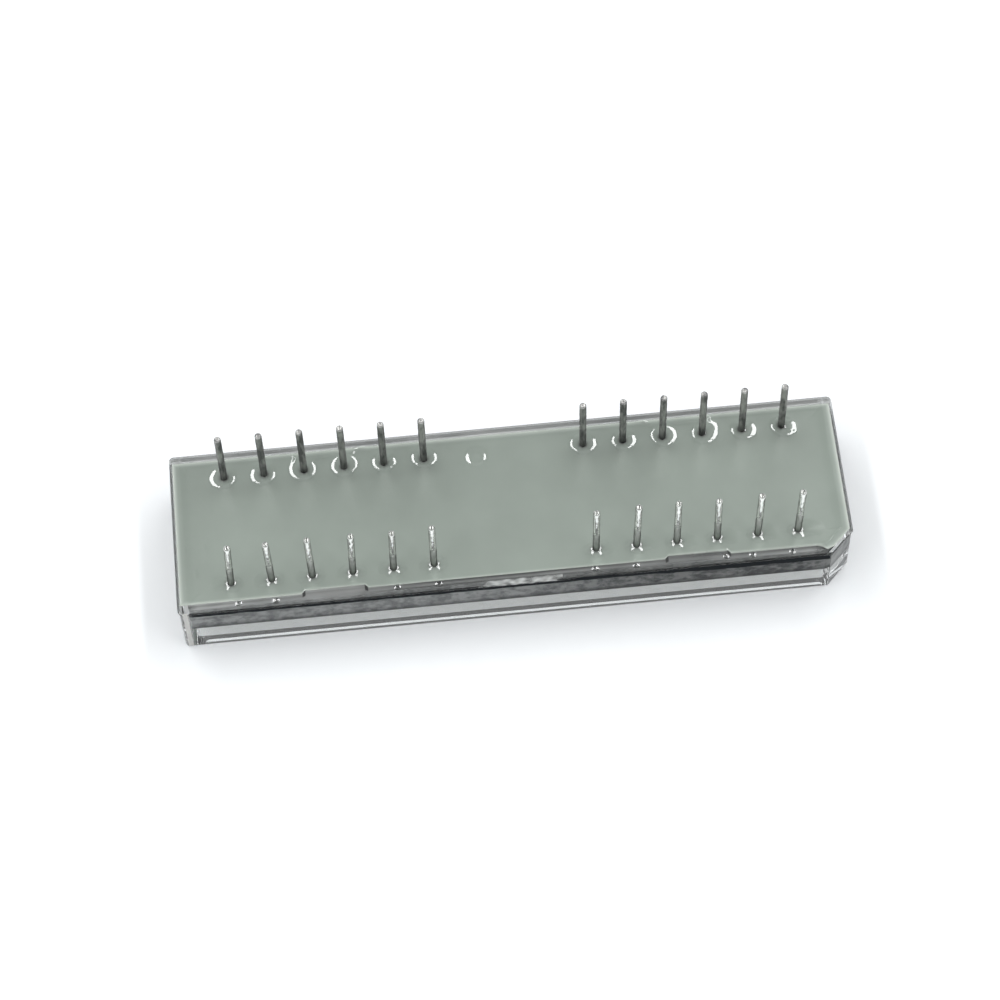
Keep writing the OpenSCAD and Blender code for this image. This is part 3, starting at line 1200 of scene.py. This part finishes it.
# beads of clear flux beside the near pins, cone-shaped so that each side shows its lamp
drops = {
    "radius": 0.29 * mm,
    "deep": 0.8,              # front to back, as a share of its width
    "blunt": 0.12,
    "foot": 4.512 * mm,
    "around": 24,
    "rings": 10,
    "places": [(-17.4, -5.27), (-15.07, -5.3), (-7.49, -5.2), (-4.9, -5.22), (4.88, -5.2),
               (7.45, -5.25), (13.1, -5.22), (14.75, -5.28), (17.25, -5.31)],
}


def makeDrops():
    radius, around, rings = drops["radius"], drops["around"], drops["rings"]
    tip = radius * drops["blunt"]
    points, faces = [], []
    for dropX, dropY in drops["places"]:
        cx, cy = dropX * mm, dropY * mm
        leftSlope = slopeForLamp(cx, cy, math.pi)
        rightSlope = slopeForLamp(cx, cy, 0.0)
        start = len(points)
        for ring in range(rings + 1):
            out = radius * (1 - ring / rings)
            for j in range(around):
                turn = 2 * math.pi * j / around
                slope = leftSlope + (rightSlope - leftSlope) * (1 + math.cos(turn)) / 2
                z = drops["foot"] + slope * (math.hypot(radius, tip) - math.hypot(out, tip))
                points.append((cx + out * math.cos(turn), cy + out * drops["deep"] * math.sin(turn), z))
        faces += ringFaces(start, rings + 1, around)
        faces.append(tuple(start + j for j in reversed(range(around))))
    mesh = meshFrom("fluxDrops", points, faces)
    shell = bmesh.new()
    shell.from_mesh(mesh)
    bmesh.ops.remove_doubles(shell, verts=shell.verts, dist=1e-6)
    shell.to_mesh(mesh)
    shell.free()
    addObject("fluxDrops", mesh, "clear_plastic", flux)


makeDrops()
print("rim smears on")

bonding = {
    "padSize": (0.1 * mm, 0.13 * mm, 0.012 * mm),
    "wire": 0.01 * mm,
    "sag": 0.13 * mm,
    "parts": 8,
    "reach": 0.325 * mm,
    "columns": [0.65 * mm * k for k in (-2, -1, 0, 1, 2)],
    "rows": [0.76 * mm * k for k in (-3, -2, -1, 0, 1, 2, 3)],
}


def addPad(points, faces, x, y):
    halfX, halfY = bonding["padSize"][0] / 2, bonding["padSize"][1] / 2
    start = len(points)
    for z in (boardLow.z, boardLow.z - bonding["padSize"][2]):
        points += [(x - halfX, y - halfY, z), (x + halfX, y - halfY, z),
                   (x + halfX, y + halfY, z), (x - halfX, y + halfY, z)]
    faces.append((start + 7, start + 6, start + 5, start + 4))
    for k in range(4):
        after = (k + 1) % 4
        faces.append((start + k, start + 4 + k, start + 4 + after, start + after))


def addWire(points, faces, x, y, dieFace):
    padFace = boardLow.z - bonding["padSize"][2]
    start = len(points)
    for k in range(bonding["parts"] + 1):
        share = k / bonding["parts"]
        z = dieFace + (padFace - dieFace) * share - bonding["sag"] * math.sin(math.pi * share) ** 0.8
        for turn in (0.25, 0.75, 1.25, 1.75):
            dy = bonding["wire"] * math.cos(math.pi * turn)
            dz = bonding["wire"] * math.sin(math.pi * turn)
            points.append((x + bonding["reach"] * share, y + dy, z + dz))
    faces += ringFaces(start, bonding["parts"] + 1, 4)


def makeBonding():
    # a gold pad beside each die and a fine wire across to it, on the board's face
    padPoints, padFaces, wirePoints, wireFaces = [], [], [], []
    for character in characters:
        low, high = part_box(character)
        middle = (low.x + high.x) / 2
        for column in bonding["columns"]:
            for y in bonding["rows"]:
                x = middle + column
                addPad(padPoints, padFaces, x + bonding["reach"], y)
                addWire(wirePoints, wireFaces, x, y, low.z)
    addObject("bondPads", meshFrom("bondPads", padPoints, padFaces, False), "gold_plate", gold)
    addObject("bondWires", meshFrom("bondWires", wirePoints, wireFaces), "gold_plate", gold)


makeBonding()
print("bond wires drawn")

# solids that keep their own shape
finishes = {
    "circuit_board": laminate,
    "driver_chip": silicon,
    "chip_encapsulant": encapsulant,
    "column_tracks": gold,
    "solder_joints": solder,
}
finishes.update({character: dieFinish for character in characters})
for name, finish in finishes.items():
    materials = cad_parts[name].data.materials
    materials.clear()
    materials.append(finish)
print("frame dressed")

stage = {
    "floor": 1.2,
    "floorDown": 0.02 * mm,
    "floorColour": (0.83, 0.855, 0.875, 1),
    # the floor's glow: painted light under the window, and a painted shadow that dims it near the object
    "glowUnder": 0.34,
    "glowNear": 0.14,
    "glowFar": 0.45,
    "glowReach": 9 * mm,
    "underCorner": 1.6 * mm,  # how far the glow under the window is cut back at the corners
    "underEdge": 0.4 * mm,
    "worldColour": (0.985, 0.995, 1, 1),
    "world": 0.52,
    "ceiling": 0.12,          # darker patch high behind
    "ceilingAt": (0.03, 0.48, 0.877),
    "ceilingEdge": (0.86, 0.96),
}


def floorGlow(tree):
    # painted shadow and light: dimmer near the object and whiter away from it, and painted light under the
    # clear window
    place = addNode(tree, "TexCoord").outputs["Object"]
    fold = vectorNode(tree, "ABSOLUTE", place).outputs["Vector"]
    past = vectorNode(tree, "SUBTRACT", fold, (caseHigh.x, caseHigh.y, 0)).outputs["Vector"]
    outside = vectorNode(tree, "MAXIMUM", past, (0, 0, 0)).outputs["Vector"]
    away = vectorNode(tree, "LENGTH", outside).outputs["Value"]
    around = mapRange(tree, away, (0, stage["glowReach"]), (stage["glowNear"], stage["glowFar"]))
    sides = addNode(tree, "SeparateXYZ", {"Vector": past}).outputs
    widest = mathNode(tree, "MAXIMUM", sides["X"], sides["Y"])
    slant = mathNode(tree, "ADD", mathNode(tree, "ADD", sides["X"], sides["Y"]), stage["underCorner"])
    deepest = mathNode(tree, "MAXIMUM", widest, slant)
    under = mapRange(tree, deepest, (-stage["underEdge"], 0), (stage["glowUnder"] - stage["glowNear"], 0))
    return mathNode(tree, "ADD", around, under)


def makeFloor():
    half = stage["floor"] / 2
    corners = [(-half, -half, 0), (half, -half, 0), (half, half, 0), (-half, half, 0)]
    mesh = meshFrom("floor", corners, [(0, 1, 2, 3)], False)
    floor = bpy.data.objects.new("floor", mesh)
    scene.collection.objects.link(floor)
    floor.location.z = -stage["floorDown"]
    material = bpy.data.materials.new("floor")
    material.use_nodes = True
    tree = material.node_tree
    tree.nodes.clear()
    # it glows only where it is looked at, so it lights nothing
    ray = addNode(tree, "LightPath").outputs
    seen = mathNode(tree, "MAXIMUM", ray["Is Camera Ray"], ray["Is Glossy Ray"])
    seen = mathNode(tree, "MAXIMUM", seen, ray["Is Transmission Ray"])
    glow = addNode(tree, "Emission", {"Strength": mathNode(tree, "MULTIPLY", seen, floorGlow(tree))})
    paper = addNode(tree, "BsdfDiffuse", {"Color": stage["floorColour"]})
    both = addNode(tree, "AddShader", {0: paper.outputs[0], 1: glow.outputs[0]})
    # and it is seen from above only
    clear = addNode(tree, "BsdfTransparent")
    back = addNode(tree, "NewGeometry").outputs["Backfacing"]
    oneSided = addNode(tree, "MixShader", {0: back, 1: both.outputs[0], 2: clear.outputs[0]})
    addNode(tree, "OutputMaterial", {"Surface": oneSided.outputs[0]})
    mesh.materials.append(material)


def makeStrip(name, side):
    light = bpy.data.lights.new(name, "AREA")
    light.shape = "RECTANGLE"
    light.size, light.size_y = lamps["size"]
    light.energy = lamps["power"]
    lamp = bpy.data.objects.new(name, light)
    scene.collection.objects.link(lamp)
    lamp.location = (side * lamps["apart"], lamps["back"], lamps["height"])
    lamp.rotation_euler = (0, math.atan2(side * lamps["apart"], lamps["height"]), 0)


def makeWorld():
    world = bpy.data.worlds.new("room")
    scene.world = world
    world.use_nodes = True
    tree = world.node_tree
    place = addNode(tree, "TexCoord").outputs["Generated"]
    towards = vectorNode(tree, "DOT_PRODUCT", place, stage["ceilingAt"]).outputs["Value"]
    level = mapRange(tree, towards, stage["ceilingEdge"], (stage["world"], stage["ceiling"]))
    setInputs(tree, tree.nodes["Background"], {"Color": stage["worldColour"], "Strength": level})


makeFloor()
makeStrip("leftStrip", -1)
makeStrip("rightStrip", 1)
makeWorld()
print("stage set")

camera = bpy.data.objects.new("camera", bpy.data.cameras.new("camera"))
scene.collection.objects.link(camera)
camera.location = view["place"]
camera.rotation_euler = [math.radians(angle) for angle in view["tilt"]]
camera.data.lens = view["lens"]
camera.data.sensor_width = view["sensor"]
camera.data.clip_start = view["nearest"]
scene.camera = camera
print("camera placed")
